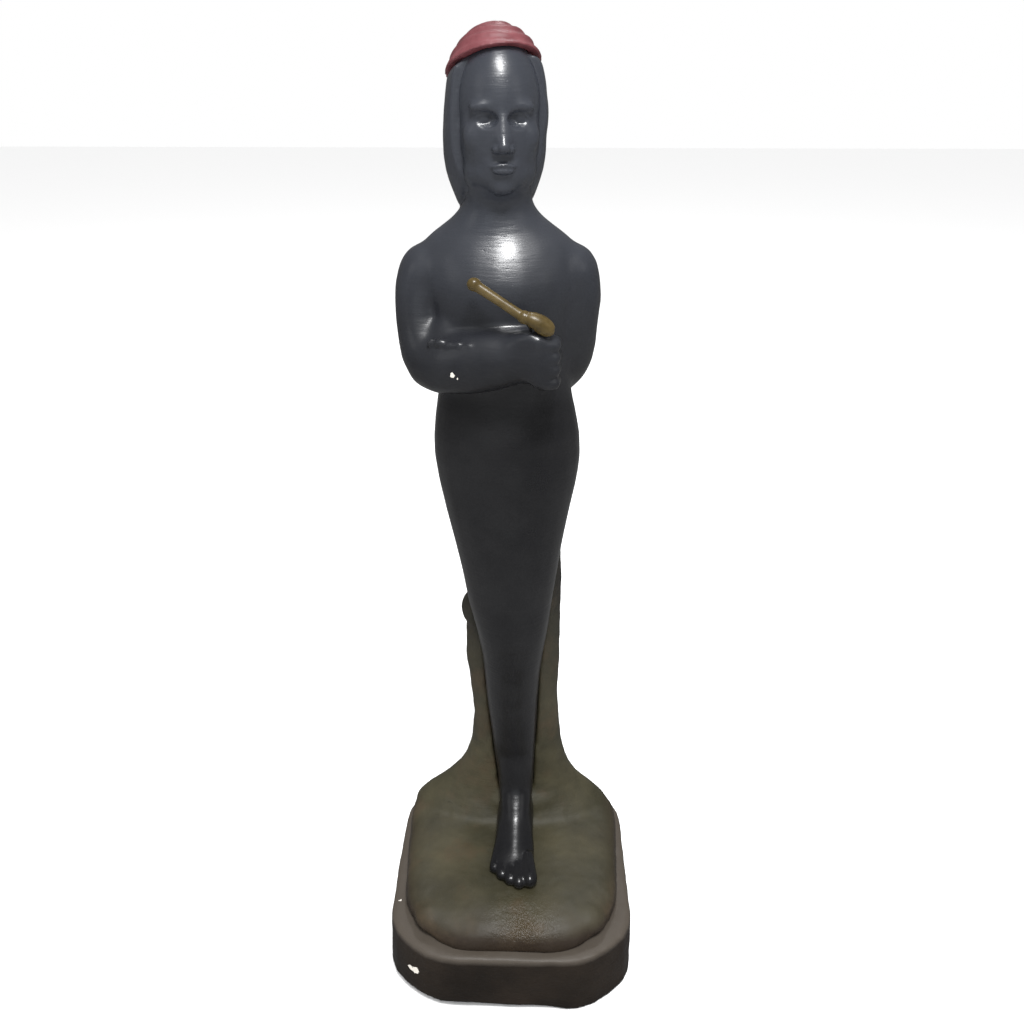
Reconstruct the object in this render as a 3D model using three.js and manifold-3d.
// A painted plaster folk figure: a one-legged standing figure with a red cap and a pipe, leaning on a tree
// trunk, on a two-step plinth. It is modelled as the castings, wires and pads that it is put together from.
//
// Frame: millimetres, +Z up, the figure faces -Y, its right hand is on the -X side, and the origin is the
// middle of the flat underside. Nothing on it moves: the castings are keyed together on wires and cemented.

import * as THREE from "three";
import { mergeVertices } from "three/addons/utils/BufferGeometryUtils.js";
import Module from "manifold-3d";

const wasm = await Module();
wasm.setup();

// ---------------------------------------------------------------- driving dimensions

const FIGURE_HEIGHT = 269; // from the ground it stands on to the top of its cap
const GAP = 0.3; // cement line between two castings that touch

const PLINTH = { width: 85, depth: 85, height: 22, draft: 1, cutX: 16, cutY: 13, wall: 12, roof: 8, edge: 1.2 };
const POST = { rod: 7, pin: 6 }; // radii of the posts in the plinth's hollow
const FELT = { thickness: 1.5, inset: 2.5 };
const PLATE = { thickness: 3, rebate: 4 };
const GROUND = { ledge: 5, backLedge: 2, height: 9.6, rim: 5, spigotRadius: 14, spigotHeight: 3 };
const TORSO_WALL = 6;
const TENON = { waistRadius: 5.8, waistHeight: 9, neckRadius: 6, neckHeight: 9 };
const ROD_RADIUS = 1.5; // steel rod from the plinth up to the head
const ARM_WIRE_RADIUS = 0.8;
const PIN_RADIUS = 1.5;
const PIPE = { stem: 1.35, bowl: 2.5, wire: 0.4, mouth: 1.5, mouthDepth: 2.4 };
const HEAD_TURN = THREE.MathUtils.degToRad(8); // towards the figure's left
const CAP_TILT = THREE.MathUtils.degToRad(22); // the cap's edge rises towards the forehead
const CAP_ROLL = THREE.MathUtils.degToRad(5); // and towards the figure's left

const BODY_SIDES = 20;
const ARM_SIDES = 12;
const WIRE_SIDES = 6;
const WELD = 0.02; // corners closer than this are made one

// Heights that stack up from the floor.
const PLINTH_Z = FELT.thickness + GAP;
const LEDGE_Z = PLINTH_Z + PLINTH.height;
const GROUND_Z = LEDGE_Z + GAP;
const STAND_Z = GROUND_Z + GROUND.height;

// The tables of the figure's forms are drawn at one height, from the ground up, and drawn() places a
// station [x, y, z, ...radii] of theirs in the frame at the figure's own height.
const DRAWN_HEIGHT = 269;
const K = FIGURE_HEIGHT / DRAWN_HEIGHT;
const drawn = ([x, y, z, ...radii]) => [x * K, y * K, STAND_Z + z * K, ...radii.map((r) => r * K)];

// ---------------------------------------------------------------- solids

// A manifold solid from a closed three.js geometry.
function solid(geometry) {
  const bare = geometry.clone();
  for (const name of Object.keys(bare.attributes)) if (name !== "position") bare.deleteAttribute(name);
  const merged = mergeVertices(bare, 1e-4);
  const vertProperties = new Float32Array(merged.attributes.position.array);
  const triVerts = new Uint32Array(merged.index.array);
  return new wasm.Manifold(new wasm.Mesh({ numProp: 3, vertProperties, triVerts }));
}

// A three.js geometry from a manifold solid, without the slivers that its cuts leave.
function geometryOf(made) {
  const { vertProperties, triVerts } = made.getMesh();
  const cut = new THREE.BufferGeometry();
  cut.setAttribute("position", new THREE.BufferAttribute(vertProperties, 3));
  cut.setIndex(new THREE.BufferAttribute(triVerts, 1));
  const geometry = mergeVertices(cut, WELD);
  const [corners, kept] = [geometry.index.array, []];
  for (let i = 0; i < corners.length; i += 3) {
    const [a, b, c] = corners.slice(i, i + 3);
    if (a !== b && b !== c && c !== a) kept.push(a, b, c);
  }
  geometry.setIndex(kept);
  geometry.computeVertexNormals();
  return geometry;
}

// A closed solid through a stack of rings, each with the same number of points, running anticlockwise
// when seen from the far end of the stack.
function skin(rings) {
  const sides = rings[0].length;
  const points = rings.flat();
  const index = [];
  for (let r = 0; r + 1 < rings.length; r++)
    for (let i = 0; i < sides; i++) {
      const a = r * sides + i;
      const b = r * sides + ((i + 1) % sides);
      index.push(a, b, b + sides, a, b + sides, a + sides);
    }
  for (const [ring, first, turn] of [[rings[0], 0, 1], [rings.at(-1), (rings.length - 1) * sides, 0]]) {
    const middle = ring.reduce((sum, p) => sum.add(p), new THREE.Vector3()).divideScalar(sides);
    points.push(middle);
    for (let i = 0; i < sides; i++) {
      const pair = [first + i, first + ((i + 1) % sides)];
      index.push(points.length - 1, pair[turn], pair[1 - turn]);
    }
  }
  const geometry = new THREE.BufferGeometry().setFromPoints(points);
  geometry.setIndex(index);
  return solid(geometry);
}

// Stations [x, y, z, half width, front radius, back radius], smoothed to a finer list of the same form.
function smooth(stations, steps) {
  const through = (from) => new THREE.CatmullRomCurve3(
    stations.map((s) => new THREE.Vector3(...s.slice(from, from + 3))), false, "catmullrom", 0.5);
  const [centres, radii] = [through(0), through(3)];
  return Array.from({ length: steps + 1 }, (_, i) => {
    const c = centres.getPoint(i / steps);
    const r = radii.getPoint(i / steps);
    return [c.x, c.y, c.z, r.x, r.y, r.z];
  });
}

// An egg-shaped level ring: its front half and back half have their own depths.
function levelRing([x, y, z, halfWidth, front, back], grow, sides) {
  return Array.from({ length: sides }, (_, i) => {
    const a = (i / sides) * 2 * Math.PI;
    const depth = Math.sin(a) < 0 ? front : back;
    return new THREE.Vector3(x + (halfWidth + grow) * Math.cos(a), y + (depth + grow) * Math.sin(a), z);
  });
}

// A body casting: level rings from the lowest station to the highest. Grown, it's larger all round.
function body(stations, { steps = 20, grow = 0, sides = BODY_SIDES } = {}) {
  const fine = smooth(stations, steps);
  fine[0][2] -= grow;
  fine[steps][2] += grow;
  return skin(fine.map((s) => levelRing(s, grow, sides)));
}

// A limb: oval rings square to a curved path, with both ends rounded off. Stations are [x, y, z, radius
// across the hint, radius along the hint], and the hint is a direction that the path never runs in.
function limb(stations, { steps = 14, grow = 0, sides = ARM_SIDES, hint = [0, 0, 1] } = {}) {
  const fine = smooth(stations.map((s) => [...s, 0]), steps);
  const at = (k) => new THREE.Vector3(...fine[Math.min(Math.max(k, 0), steps)].slice(0, 3));
  const ring = (k, along, share) => {
    const tangent = at(k + 1).sub(at(k - 1)).normalize();
    const level = new THREE.Vector3().crossVectors(tangent, new THREE.Vector3(...hint)).normalize();
    const upright = new THREE.Vector3().crossVectors(tangent, level);
    const middle = at(k).addScaledVector(tangent, along);
    const [wide, tall] = [fine[k][3] + grow, fine[k][4] + grow].map((r) => r * share);
    return Array.from({ length: sides }, (_, i) => {
      const a = (i / sides) * 2 * Math.PI;
      return middle.clone().addScaledVector(level, wide * Math.cos(a)).addScaledVector(upright, tall * Math.sin(a));
    });
  };
  const dome = [0.45, 0.86].map((share) => [Math.sqrt(1 - share * share), share]);
  const start = Math.min(fine[0][3], fine[0][4]) + grow;
  const finish = Math.min(fine[steps][3], fine[steps][4]) + grow;
  const rings = [
    ...dome.map(([along, share]) => ring(0, -along * start, share)),
    ...fine.map((_, k) => ring(k, 0, 1)),
    ...dome.toReversed().map(([along, share]) => ring(steps, along * finish, share)),
  ];
  return skin(rings);
}

// A wire or a drilled hole of one radius along a smooth path.
function wire(points, radius, steps = 14) {
  const section = new THREE.Shape().absarc(0, 0, radius, 0, 2 * Math.PI);
  const extrudePath = new THREE.CatmullRomCurve3(points.map((p) => new THREE.Vector3(...p)));
  const curveSegments = WIRE_SIDES / 2;
  const settings = { steps, curveSegments, extrudePath, bevelEnabled: false };
  return solid(new THREE.ExtrudeGeometry(section, settings));
}

function ball([x, y, z], radius, [sx, sy, sz] = [1, 1, 1], detail = 12) {
  return solid(new THREE.SphereGeometry(radius, detail, detail * 0.75).scale(sx, sy, sz).translate(x, y, z));
}

function upright(radius, x, y, low, high, sides = 20) {
  const cylinder = new THREE.CylinderGeometry(radius, radius, high - low, sides).rotateX(Math.PI / 2);
  return solid(cylinder.translate(x, y, (low + high) / 2));
}

function block(low, high) {
  const size = low.map((v, i) => high[i] - v);
  return solid(new THREE.BoxGeometry(...size).translate(...low.map((v, i) => v + size[i] / 2)));
}

// Everything on one side of a plane through a point, as a box far larger than the figure.
function halfSpace(point, normal) {
  const reach = 200;
  const box = new THREE.BoxGeometry(2 * reach, 2 * reach, reach).translate(0, 0, reach / 2);
  const up = new THREE.Vector3(0, 0, 1);
  const turn = new THREE.Quaternion().setFromUnitVectors(up, normal.clone().normalize());
  return solid(box.applyQuaternion(turn).translate(...point.toArray()));
}

// ---------------------------------------------------------------- the base

// The outline of a step of the base: a square with its corners cut off and rounded. Inset draws it in
// all round; taper widens its back and narrows its front, so that the ledge in front is the wider one.
function baseOutline(inset, taper = 0) {
  const [x, y] = [PLINTH.width / 2 - inset, PLINTH.depth / 2 - inset];
  const share = 1 - inset / PLINTH.width;
  const [cutX, cutY] = [PLINTH.cutX * share, PLINTH.cutY * share];
  const [front, back] = [x - taper, x + taper];
  const corners = [
    [front, -y + cutY + taper], [back, y - cutY], [back - cutX, y + taper], [-back + cutX, y + taper],
    [-back, y - cutY], [-front, -y + cutY + taper], [-front + cutX, -y], [front - cutX, -y],
  ].map((p) => new THREE.Vector2(...p));
  const shape = new THREE.Shape();
  corners.forEach((corner, i) => {
    const before = corners[(i + 7) % 8];
    const after = corners[(i + 1) % 8];
    const reach = 0.42 * Math.min(corner.distanceTo(before), corner.distanceTo(after));
    const from = corner.clone().add(before.clone().sub(corner).setLength(reach));
    const to = corner.clone().add(after.clone().sub(corner).setLength(reach));
    if (i) shape.lineTo(from.x, from.y);
    else shape.moveTo(from.x, from.y);
    shape.quadraticCurveTo(corner.x, corner.y, to.x, to.y);
  });
  return shape.closePath();
}

// The outline raised straight up from one height to another.
function raised(inset, low, high) {
  const shape = baseOutline(inset);
  const geometry = new THREE.ExtrudeGeometry(shape, { depth: high - low, curveSegments: 3, steps: 1, bevelEnabled: false });
  return solid(geometry.translate(0, 0, low));
}

function outlineRing(inset, z, taper = 0) {
  const points = baseOutline(inset, taper).getPoints(3);
  if (points[0].distanceTo(points.at(-1)) < 1e-6) points.pop();
  return points.map((p) => new THREE.Vector3(p.x, p.y, z));
}

// The lower step's outside: its walls lean in towards the top and its top edge is rounded.
function plinthForm() {
  const { draft, edge } = PLINTH;
  const rings = [[-draft, PLINTH_Z], [0, LEDGE_Z - edge], [edge * 0.3, LEDGE_Z - edge * 0.3], [edge, LEDGE_Z]];
  return skin(rings.map(([inset, z]) => outlineRing(inset, z)));
}

function feltPad() {
  return raised(FELT.inset, 0, FELT.thickness);
}

// The lower step: a cast tray, hollow underneath round a post that takes the rod and another for the pin.
function plinth() {
  const roofZ = LEDGE_Z - PLINTH.roof;
  const plateZ = PLINTH_Z + PLATE.thickness + GAP;
  const hollow = raised(PLINTH.wall, plateZ - 1, roofZ)
    .subtract(upright(POST.rod, ...ROD_PATH[0].slice(0, 2), plateZ, LEDGE_Z))
    .subtract(upright(POST.pin, ...TRUNK_PIN.at, plateZ, LEDGE_Z));
  const rebate = raised(PLINTH.wall - PLATE.rebate, PLINTH_Z - 1, plateZ);
  const socket = upright(GROUND.spigotRadius + GAP, 0, 0, LEDGE_Z - GROUND.spigotHeight - GAP, LEDGE_Z + 1, 28);
  return plinthForm().subtract(hollow).subtract(rebate).subtract(socket)
    .subtract(bore(ROD_PATH.slice(0, 2), ROD_RADIUS, 1)).subtract(bore(TRUNK_PIN_HOLE, PIN_RADIUS, 1));
}

// The plaster plate that closes the tray.
function bottomPlate() {
  return raised(PLINTH.wall - PLATE.rebate + GAP, PLINTH_Z, PLINTH_Z + PLATE.thickness);
}

// The upper step: modelled ground with a soft rounded rim and a slightly domed top.
function ground(grow = 0) {
  const rim = GROUND.rim;
  const inset = (GROUND.ledge + GROUND.backLedge) / 2;
  const taper = (GROUND.ledge - GROUND.backLedge) / 2;
  const rise = [[0, 0], [0, 0.36], [0.04, 0.55], [0.25, 0.74], [0.62, 0.87], [1.2, 0.94], [3, 0.985], [6, 1]];
  const height = GROUND.height + grow;
  return skin(rise.map(([inward, up]) => outlineRing(inset + inward * rim - grow, GROUND_Z + up * height, taper)));
}

function groundWithSpigot() {
  return ground().add(upright(GROUND.spigotRadius, 0, 0, LEDGE_Z - GROUND.spigotHeight, GROUND_Z + 1, 28))
    .subtract(bore(ROD_PATH, ROD_RADIUS)).subtract(bore(TRUNK_PIN_HOLE, PIN_RADIUS, 1));
}

// ---------------------------------------------------------------- the figure's forms

const HIPS = [
  [1, 19, -2.7, 6.6, 7.2, 7.4],
  [1.1, 18.6, 11.3, 6.4, 6.6, 6.6],
  [0.4, 18.8, 23.8, 7.1, 7.4, 7.1],
  [0.2, 18.8, 38.3, 8.2, 8.4, 8.6],
  [-0.4, 18, 56.3, 9.3, 9.2, 9.6],
  [-0.3, 16.8, 70.3, 10.1, 10, 9.4],
  [-0.2, 15.6, 82.3, 11.6, 11.2, 9.8],
  [-1, 14.6, 98.3, 14.1, 12.2, 11.4],
  [-1.2, 14, 114.3, 16.3, 13.5, 13.2],
  [-1.7, 13.6, 128.3, 18.7, 14.6, 15.8],
  [-1.7, 13, 142.3, 21.3, 15.6, 17.8],
  [-1.8, 12.5, 153.3, 22.5, 16, 17.2],
  [-2.1, 12, 163.3, 21.6, 15.4, 14.8],
  [-2.4, 11.7, 171.3, 20, 14, 12.8],
  [-2.5, 11.6, 175.8, 19.4, 13.9, 12.5],
].map(drawn);

const TORSO = [
  [-2.5, 11.6, 175.8, 19.3, 13.9, 12.5],
  [-2.7, 11.8, 182.3, 18.7, 14.6, 12.5],
  [-3, 12, 189.3, 18.9, 15.6, 12.8],
  [-3.4, 12, 197.3, 20.4, 17, 13.6],
  [-3.7, 12.2, 205.3, 22, 17.2, 14],
  [-4, 12.6, 211.3, 21.8, 15, 13.4],
  [-4.1, 12.8, 215.8, 20.6, 12.4, 12],
  [-4.2, 13, 219.1, 16.4, 10.6, 10.8],
  [-4.2, 13, 222.3, 12.4, 9.6, 9.8],
].map(drawn);

const RIGHT_ARM = [
  [-24.1, 11.6, 207.7, 7.9, 8],
  [-26, 10.8, 202.3, 7.3, 7.6],
  [-26, 8, 192.3, 6.8, 7.2],
  [-23.2, 2.6, 184.1, 7.6, 7.2],
  [-16.4, -3, 185.1, 8.4, 7],
  [-6.4, -6.6, 187.1, 8.3, 6.4],
  [2, -8.2, 189.1, 7.2, 6],
  [6.2, -8.6, 189.5, 7.6, 6.4],
].map(drawn);

const LEFT_ARM = [
  [16, 12.6, 207.7, 7.9, 8],
  [18, 12.8, 201.3, 6.8, 7.6],
  [17.8, 13.8, 192.3, 6.2, 7.4],
  [17, 16.8, 181.9, 6.2, 7.4],
  [13, 22.2, 174.9, 6.6, 6],
  [4.4, 26.8, 172.1, 5.6, 5.6],
  [-2.8, 29, 169.1, 4.8, 5.6],
].map(drawn);

// The neck's base and the waist are where the castings part. The waist is hidden behind the forearm.
const WAIST_Z = HIPS.at(-1)[2];
const NECK_Z = TORSO.at(-1)[2];

// The head and its parts are shaped round this point, where the neck's line meets the jaw.
const HEAD_AXIS = [-4.3 * K, 12.6 * K];

const HEAD = [
  [-4.2, 13, 222.3, 12.2, 9.5, 9.7],
  [-4.2, 13, 224.9, 9.9, 9, 9.2],
  [-4.2, 12.6, 227.9, 9, 9.2, 9.6],
  [-4.2, 12, 230.9, 9, 12, 10.6],
  [-4.2, 11.8, 234.9, 10, 13.6, 11.8],
  [-4.2, 11.8, 241.3, 11, 14.2, 12.6],
  [-4.2, 12, 249.3, 11.3, 14.2, 13],
  [-4.2, 12, 257.3, 10.9, 13.9, 12.8],
  [-4.2, 12.2, 262.3, 8.9, 12.2, 11],
  [-4.2, 12.4, 265.5, 5.6, 8.4, 7.6],
  [-4.2, 12.4, 267.1, 1.8, 2.8, 2.6],
].map(drawn);

const NOSE = [[-4.2, -1.6, 252.3, 1, 1], [-4.2, -3.4, 245.7, 1.9, 1.7]].map(drawn);

// The opening in the hair that shows the face, as a capsule standing in front of the head.
const FACE = { halfWidth: 10.6 * K, height: 17 * K, middle: drawn([-3.9, -14, 243.9]) };

const HAIR = [
  [-4.7, 15.6, 224.3, 9.8, 6, 8.4],
  [-4.7, 15.4, 227.3, 11, 8, 10.2],
  [-4.8, 14.8, 231.8, 12.6, 10.6, 12],
  [-4.8, 14, 236.8, 13.7, 12.4, 13.4],
  [-4.8, 13.2, 244.3, 13.8, 13.8, 14.4],
  [-4.6, 12.8, 252.3, 13.2, 14.4, 14.4],
  [-4.4, 12.6, 257.8, 12.5, 14.4, 13.6],
  [-4.4, 12.6, 262.3, 10.6, 13, 11.8],
  [-4.4, 12.6, 265.7, 7, 9.4, 8.4],
  [-4.4, 12.6, 267.3, 3, 4, 4],
].map(drawn);

const CAP = [
  [-4.5, 14, 248.3, 13.7, 14.8, 15.6],
  [-4.4, 13.4, 254.3, 13.3, 15, 15.4],
  [-4.4, 13, 258.8, 12.7, 15, 14.6],
  [-4.4, 12.8, 262.7, 10.6, 13.4, 12.8],
  [-4.4, 12.8, 265.7, 8.2, 10.8, 10.4],
  [-4.5, 12.9, 268.1, 5, 6.6, 6.6],
  [-4.5, 13, 269.1, 1.6, 2.2, 2.2],
].map(drawn);

const CAP_TIP = [[-4.4, 22, 261.7, 6.4, 6], [-3.8, 27.2, 255.9, 4.6, 4.4], [-3.4, 29.4, 249.7, 3, 2.8]].map(drawn);

const TRUNK = [
  [-1, 26, -7.7, 38.6, 22, 13.2],
  [-1, 26, -0.7, 37.4, 19, 12.4],
  [-0.8, 26, 3.3, 32.6, 15, 11.6],
  [-0.3, 26, 7.3, 28, 12.4, 11],
  [0.2, 26, 12.3, 23.6, 10.6, 10.4],
  [0.6, 26, 18.3, 20, 9.8, 10],
  [1, 26, 26.3, 17.5, 9.4, 9.8],
  [0.9, 26, 40.3, 16, 9.4, 9.6],
  [0.1, 26, 54.3, 16.3, 9.4, 9.4],
  [-0.4, 26, 70.3, 17.3, 9.4, 9.2],
  [0, 25.6, 84.3, 16.6, 9.4, 9],
  [2.4, 25, 96.3, 14.4, 9, 8.4],
  [5, 24, 108.3, 11.4, 8, 7],
  [7.6, 22.6, 118.3, 7.4, 6, 5],
  [9, 21.6, 123.3, 3.6, 3.2, 2.8],
].map(drawn);
const TRUNK_REACH = { side: 1.9, back: 1.3 }; // how far the flare's foot stays inside the ground's back
const KNOB = { at: drawn([-12.2, 24, 88.1]), radius: 7 * K, stretch: [0.92, 0.86, 1.2] };

const FOOT = [
  [1.2, 22, 3.9, 6.4, 5.6],
  [1.2, 12, 5.7, 6.8, 6.6],
  [0.9, 1, 4.1, 7, 5.2],
  [0.8, -9, 2.1, 7.8, 3.8],
  [1, -14.6, 1.1, 7.8, 3],
].map(drawn);
// Toes from the big one, on +X, to the small one: middle of the tip, then its radius.
const TOES = [[6.7, -19, 2.7], [2.9, -19.9, 2.1], [-0.3, -18.5, 1.9], [-3.3, -16.3, 1.85], [-6, -13.4, 1.75]];
const TOE_LENGTH = 5;

// Fingers of the closed right hand, from the first one down, as heights round the fist's far end.
const FIST = { x: 7.8, y: -9.4, z: 188.9, fingers: 4, pitch: 3.6, radius: 2 };

const THUMB = [[0.2, -10.6, 193.3, 2, 2], [4.2, -12.8, 195.5, 2.2, 2.1], [8, -13.6, 195.7, 1.9, 1.9]].map(drawn);

const STEM_PATH = [[-9.4, -10, 208.7], [-3.4, -11.4, 205.2], [2.8, -12.8, 201.2]].map(drawn);
const BOWL_PATH = [[2.8, -12.8, 201.2], [6.6, -13, 200.3], [9.8, -13.2, 198.1]].map(drawn);

// ---------------------------------------------------------------- wires

const ROD_FOOT_Z = PLINTH_Z + PLATE.thickness + GAP + 3; // inside its post in the plinth
const ROD_ABOVE = [
  [1, 18.8, -3.7], [0.5, 18.8, 26.3], [-0.3, 17.4, 61.3], [-0.6, 15, 96.3],
  [-1.4, 13.6, 131.3], [-2.4, 12.6, 166.3], [-3.6, 12.8, 201.3], [-4.2, 13, 228.3], [-4.3, 13, 250.3],
].map(drawn);
const ROD_PATH = [[...ROD_ABOVE[0].slice(0, 2), ROD_FOOT_Z], ...ROD_ABOVE];
const TRUNK_PIN = { at: [1 * K, 31.5 * K], low: LEDGE_Z - 9, high: STAND_Z + 24 };
const TRUNK_PIN_HOLE = [[...TRUNK_PIN.at, TRUNK_PIN.low - 1], [...TRUNK_PIN.at, TRUNK_PIN.high + 2]];
const THIGH_PIN = [[7, 12, 109.3], [8, 24, 109.3]].map(drawn);
const RIGHT_WIRE = [
  [-13.4, 12, 205.3], [-21.4, 11.4, 206.3], [-26, 9.8, 198.3], [-25.4, 6.4, 188.3],
  [-21, 0.4, 184.3], [-12.4, -4.6, 185.9], [-2.4, -7.4, 188.1],
].map(drawn);
const LEFT_WIRE = [
  [5.6, 13, 205.3], [13.6, 12.8, 206.3], [17.8, 13.4, 197.3], [17.4, 15.8, 186.3], [13.6, 22, 176.9], [5, 27, 172.9],
].map(drawn);

// The hole for a wire: the same path, wider, with a rounded end that goes a little deeper than the wire.
function bore(points, radius, steps) {
  const ends = [points[0], points.at(-1)].map((p) => ball(p, radius + 2 * GAP, [1, 1, 1], 6));
  return wire(points, radius + GAP, steps).add(ends[0]).add(ends[1]);
}

// ---------------------------------------------------------------- castings

function foot(grow = 0) {
  const sole = limb(FOOT, { steps: 6, grow, sides: 12 });
  return TOES.reduce((made, [x, y, radius]) => {
    const root = [x * 0.8 + 0.2, y + TOE_LENGTH, radius, radius, radius];
    const tip = [x, y, radius * 0.55, radius, radius];
    return made.add(limb([root, tip].map(drawn), { steps: 1, grow, sides: 7 }));
  }, sole);
}

function hipsForm(grow = 0) {
  return body(HIPS, { steps: 18, grow }).add(foot(grow));
}

function hipsAndLeg() {
  const tenon = upright(TENON.waistRadius, ...HIPS.at(-1).slice(0, 2), WAIST_Z - 1, WAIST_Z + TENON.waistHeight);
  const belowSole = halfSpace(new THREE.Vector3(0, 0, STAND_Z + GAP), new THREE.Vector3(0, 0, -1));
  return hipsForm().add(tenon).subtract(belowSole)
    .subtract(bore(ROD_PATH, ROD_RADIUS)).subtract(bore(THIGH_PIN, PIN_RADIUS, 1));
}

// The trunk's flare follows the ground's back corners: each of its lowest stations takes a share of
// what the ground is wider or deeper than the drawing.
function trunkStations() {
  const wider = PLINTH.width / 2 - GROUND.backLedge - TRUNK_REACH.side - TRUNK[0][3];
  const deeper = PLINTH.depth / 2 - GROUND.backLedge - TRUNK_REACH.back - TRUNK[0][1] - TRUNK[0][5];
  return TRUNK.map(([x, y, z, half, front, back], i) => {
    const share = [1, 1, 0.7, 0.4, 0.2][i] ?? 0;
    return [x, y, z, half + wider * share, front, back + deeper * share];
  });
}

function trunkForm() {
  return body(trunkStations(), { steps: 16 }).add(ball(KNOB.at, KNOB.radius, KNOB.stretch));
}

function trunk() {
  const behind = halfSpace(new THREE.Vector3(0, 0, GROUND_Z + GROUND.height * 0.36), new THREE.Vector3(0, 0, -1));
  return trunkForm()
    .subtract(ground(GAP)).subtract(behind)
    .subtract(hipsForm(GAP))
    .subtract(bore(TRUNK_PIN_HOLE, PIN_RADIUS, 1))
    .subtract(bore(THIGH_PIN, PIN_RADIUS, 1));
}

function torsoForm(grow = 0) {
  const ends = [WAIST_Z + GAP, NECK_Z - GAP];
  const cemented = TORSO.map(([x, y, z, ...radii]) => [x, y, THREE.MathUtils.clamp(z, ...ends), ...radii]);
  return body(cemented, { steps: 15, grow });
}

function torso() {
  const inside = TORSO.map(([x, y, z, ...radii]) => [x, y, z, ...radii.map((r) => r - TORSO_WALL)]);
  const underShoulders = NECK_Z - TENON.neckHeight - TORSO_WALL / 2;
  const hollow = inside.filter((station) => station[2] < underShoulders);
  const socket = upright(TENON.neckRadius + GAP, ...HEAD[0].slice(0, 2), NECK_Z - TENON.neckHeight - GAP, NECK_Z + 1);
  return torsoForm()
    .subtract(body(hollow, { steps: 6, sides: 16 }))
    .subtract(socket)
    .subtract(bore(ROD_PATH, ROD_RADIUS))
    .subtract(bore(RIGHT_WIRE, ARM_WIRE_RADIUS))
    .subtract(bore(LEFT_WIRE, ARM_WIRE_RADIUS));
}

function pipeForm(grow = 0) {
  const round = (path, radii) => path.map((p, i) => [...p, radii[i], radii[i]]);
  const stem = round(STEM_PATH, [PIPE.stem * 1.16, PIPE.stem * 0.94, PIPE.stem]);
  const bowl = round(BOWL_PATH, [PIPE.stem, PIPE.bowl, PIPE.bowl * 0.86]);
  return limb(stem, { steps: 4, grow, sides: 8 }).add(limb(bowl, { steps: 5, grow, sides: 10 }));
}

function fist() {
  const palm = [[FIST.x - 3, FIST.y, FIST.z, 6, 6.8], [FIST.x, FIST.y, FIST.z, 5.6, 6.8]];
  const made = limb(palm.map(drawn), { steps: 2, sides: 14 });
  const top = FIST.z + (FIST.pitch * (FIST.fingers - 1)) / 2;
  const fingers = Array.from({ length: FIST.fingers }, (_, i) => {
    const z = top - i * FIST.pitch;
    const path = [[FIST.x + 0.6, FIST.y + 4.6, z], [FIST.x + 3, FIST.y - 1, z], [FIST.x - 0.6, FIST.y - 4.6, z]];
    return limb(path.map((p) => drawn([...p, FIST.radius, FIST.radius])), { steps: 3, sides: 7 });
  });
  const thumb = limb(THUMB, { steps: 3, sides: 8 });
  return fingers.reduce((sum, finger) => sum.add(finger), made).add(thumb);
}

function rightArm() {
  return limb(RIGHT_ARM, { steps: 16, hint: [-0.6, -0.8, 0] }).add(fist())
    .subtract(torsoForm(GAP)).subtract(hipsForm(GAP)).subtract(pipeForm(GAP))
    .subtract(bore(RIGHT_WIRE, ARM_WIRE_RADIUS))
    .subtract(bore(PIPE_WIRE, PIPE.wire));
}

function leftArm() {
  return limb(LEFT_ARM, { steps: 14, hint: [0.6, 0.8, 0] })
    .subtract(torsoForm(GAP)).subtract(hipsForm(GAP))
    .subtract(bore(LEFT_WIRE, ARM_WIRE_RADIUS));
}

// The pipe's core wire: along the stem, through the bowl's heel and down into the fist.
const PIPE_WIRE = [STEM_PATH[0], STEM_PATH[1], STEM_PATH[2], drawn([5.6, -11.8, 196.3]), drawn([5.6, -9.8, 189.3])];

function pipe() {
  const mouth = new THREE.Vector3(...BOWL_PATH[2]);
  const out = mouth.clone().sub(new THREE.Vector3(...BOWL_PATH[1])).normalize();
  const from = mouth.clone().addScaledVector(out, PIPE.bowl - PIPE.mouthDepth);
  const to = mouth.clone().addScaledVector(out, 2 * PIPE.bowl);
  return pipeForm().subtract(wire([from.toArray(), to.toArray()], PIPE.mouth, 1)).subtract(bore(PIPE_WIRE, PIPE.wire));
}

// ---------------------------------------------------------------- head, hair and cap, turned together

function turned(made) {
  const [x, y] = HEAD_AXIS;
  const degrees = THREE.MathUtils.radToDeg(HEAD_TURN);
  return made.translate([-x, -y, 0]).rotate([0, 0, degrees]).translate([x, y, 0]);
}

// Where the cap's edge crosses the head's axis, and the way that plane faces.
const CAP_EDGE = new THREE.Vector3(...drawn([-4.3, 12.6, 258.9]));
const CAP_UP = new THREE.Vector3(-Math.sin(CAP_ROLL), Math.sin(CAP_TILT), Math.cos(CAP_TILT)).normalize();

function headForm(grow = 0) {
  const nose = limb(NOSE, { steps: 2, grow, sides: 10, hint: [0, -1, 0] });
  return body(HEAD, { steps: 16, grow }).add(nose);
}

function head() {
  const tenon = upright(TENON.neckRadius, ...HEAD[0].slice(0, 2), NECK_Z - TENON.neckHeight, NECK_Z + 1);
  return turned(headForm()).add(tenon).subtract(bore(ROD_PATH, ROD_RADIUS));
}

function hair() {
  const below = halfSpace(CAP_EDGE.clone().addScaledVector(CAP_UP, -GAP / 2), CAP_UP);
  const opening = new THREE.CapsuleGeometry(FACE.halfWidth, FACE.height, 5, 18).rotateX(Math.PI / 2);
  const face = solid(opening.scale(1, 2, 1).translate(...FACE.middle));
  const made = body(HAIR, { steps: 14 }).subtract(headForm(GAP)).subtract(face).subtract(below);
  return turned(made).subtract(torsoForm(GAP));
}

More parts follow.
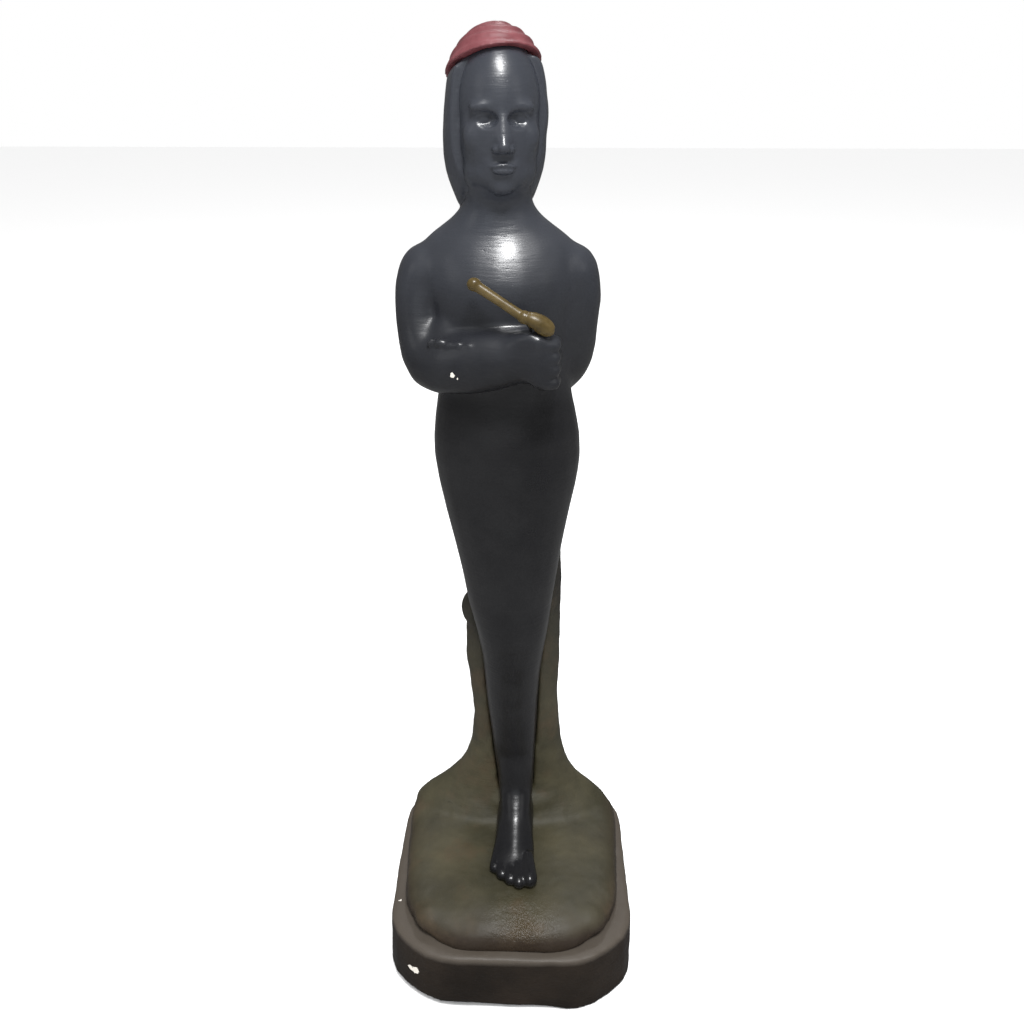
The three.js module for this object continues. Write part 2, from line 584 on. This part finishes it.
function cap() {
  const under = halfSpace(CAP_EDGE.clone().addScaledVector(CAP_UP, GAP / 2), CAP_UP.clone().negate());
  const dome = body(CAP, { steps: 11 });
  const tip = limb(CAP_TIP, { steps: 6, sides: 12, hint: [1, 0, 0] });
  const hairBelow = body(HAIR, { steps: 14, grow: GAP }).subtract(halfSpace(CAP_EDGE, CAP_UP));
  return turned(dome.subtract(under).add(tip).subtract(headForm(GAP)).subtract(hairBelow));
}

// ---------------------------------------------------------------- the assembly

const blackPaint = { color: 0x1b1b1e, roughness: 0.42, metalness: 0 };
const groundPaint = { color: 0x3a3822, roughness: 0.5, metalness: 0 };
const plinthPaint = { color: 0x2a211b, roughness: 0.5, metalness: 0 };
const redPaint = { color: 0x8e3038, roughness: 0.5, metalness: 0 };
const ochrePaint = { color: 0x6b4f22, roughness: 0.35, metalness: 0 };
const barePlaster = { color: 0xd9d2c4, roughness: 0.9, metalness: 0 };
const steel = { color: 0x6f6f70, roughness: 0.45, metalness: 0.9 };
const greenFelt = { color: 0x1f3a2a, roughness: 1, metalness: 0 };

const pieces = [
  ["felt_pad", feltPad(), greenFelt],
  ["bottom_plate", bottomPlate(), barePlaster],
  ["plinth", plinth(), plinthPaint],
  ["ground", groundWithSpigot(), groundPaint],
  ["tree_trunk", trunk(), groundPaint],
  ["hips_and_leg", hipsAndLeg(), blackPaint],
  ["torso", torso(), blackPaint],
  ["right_arm", rightArm(), blackPaint],
  ["left_arm", leftArm(), blackPaint],
  ["head", head(), blackPaint],
  ["hair", hair(), blackPaint],
  ["cap", cap(), redPaint],
  ["pipe", pipe(), ochrePaint],
  ["pipe_wire", wire(PIPE_WIRE, PIPE.wire), steel],
  ["armature_rod", wire(ROD_PATH, ROD_RADIUS), steel],
  ["right_arm_wire", wire(RIGHT_WIRE, ARM_WIRE_RADIUS), steel],
  ["left_arm_wire", wire(LEFT_WIRE, ARM_WIRE_RADIUS), steel],
  ["trunk_pin", upright(PIN_RADIUS, ...TRUNK_PIN.at, TRUNK_PIN.low, TRUNK_PIN.high, WIRE_SIDES), steel],
  ["thigh_pin", wire(THIGH_PIN, PIN_RADIUS, 1), steel],
];

const figure = new THREE.Group();
for (const [name, made, finish] of pieces) {
  const mesh = new THREE.Mesh(geometryOf(made), new THREE.MeshStandardMaterial(finish));
  mesh.name = name;
  figure.add(mesh);
}

export default figure;
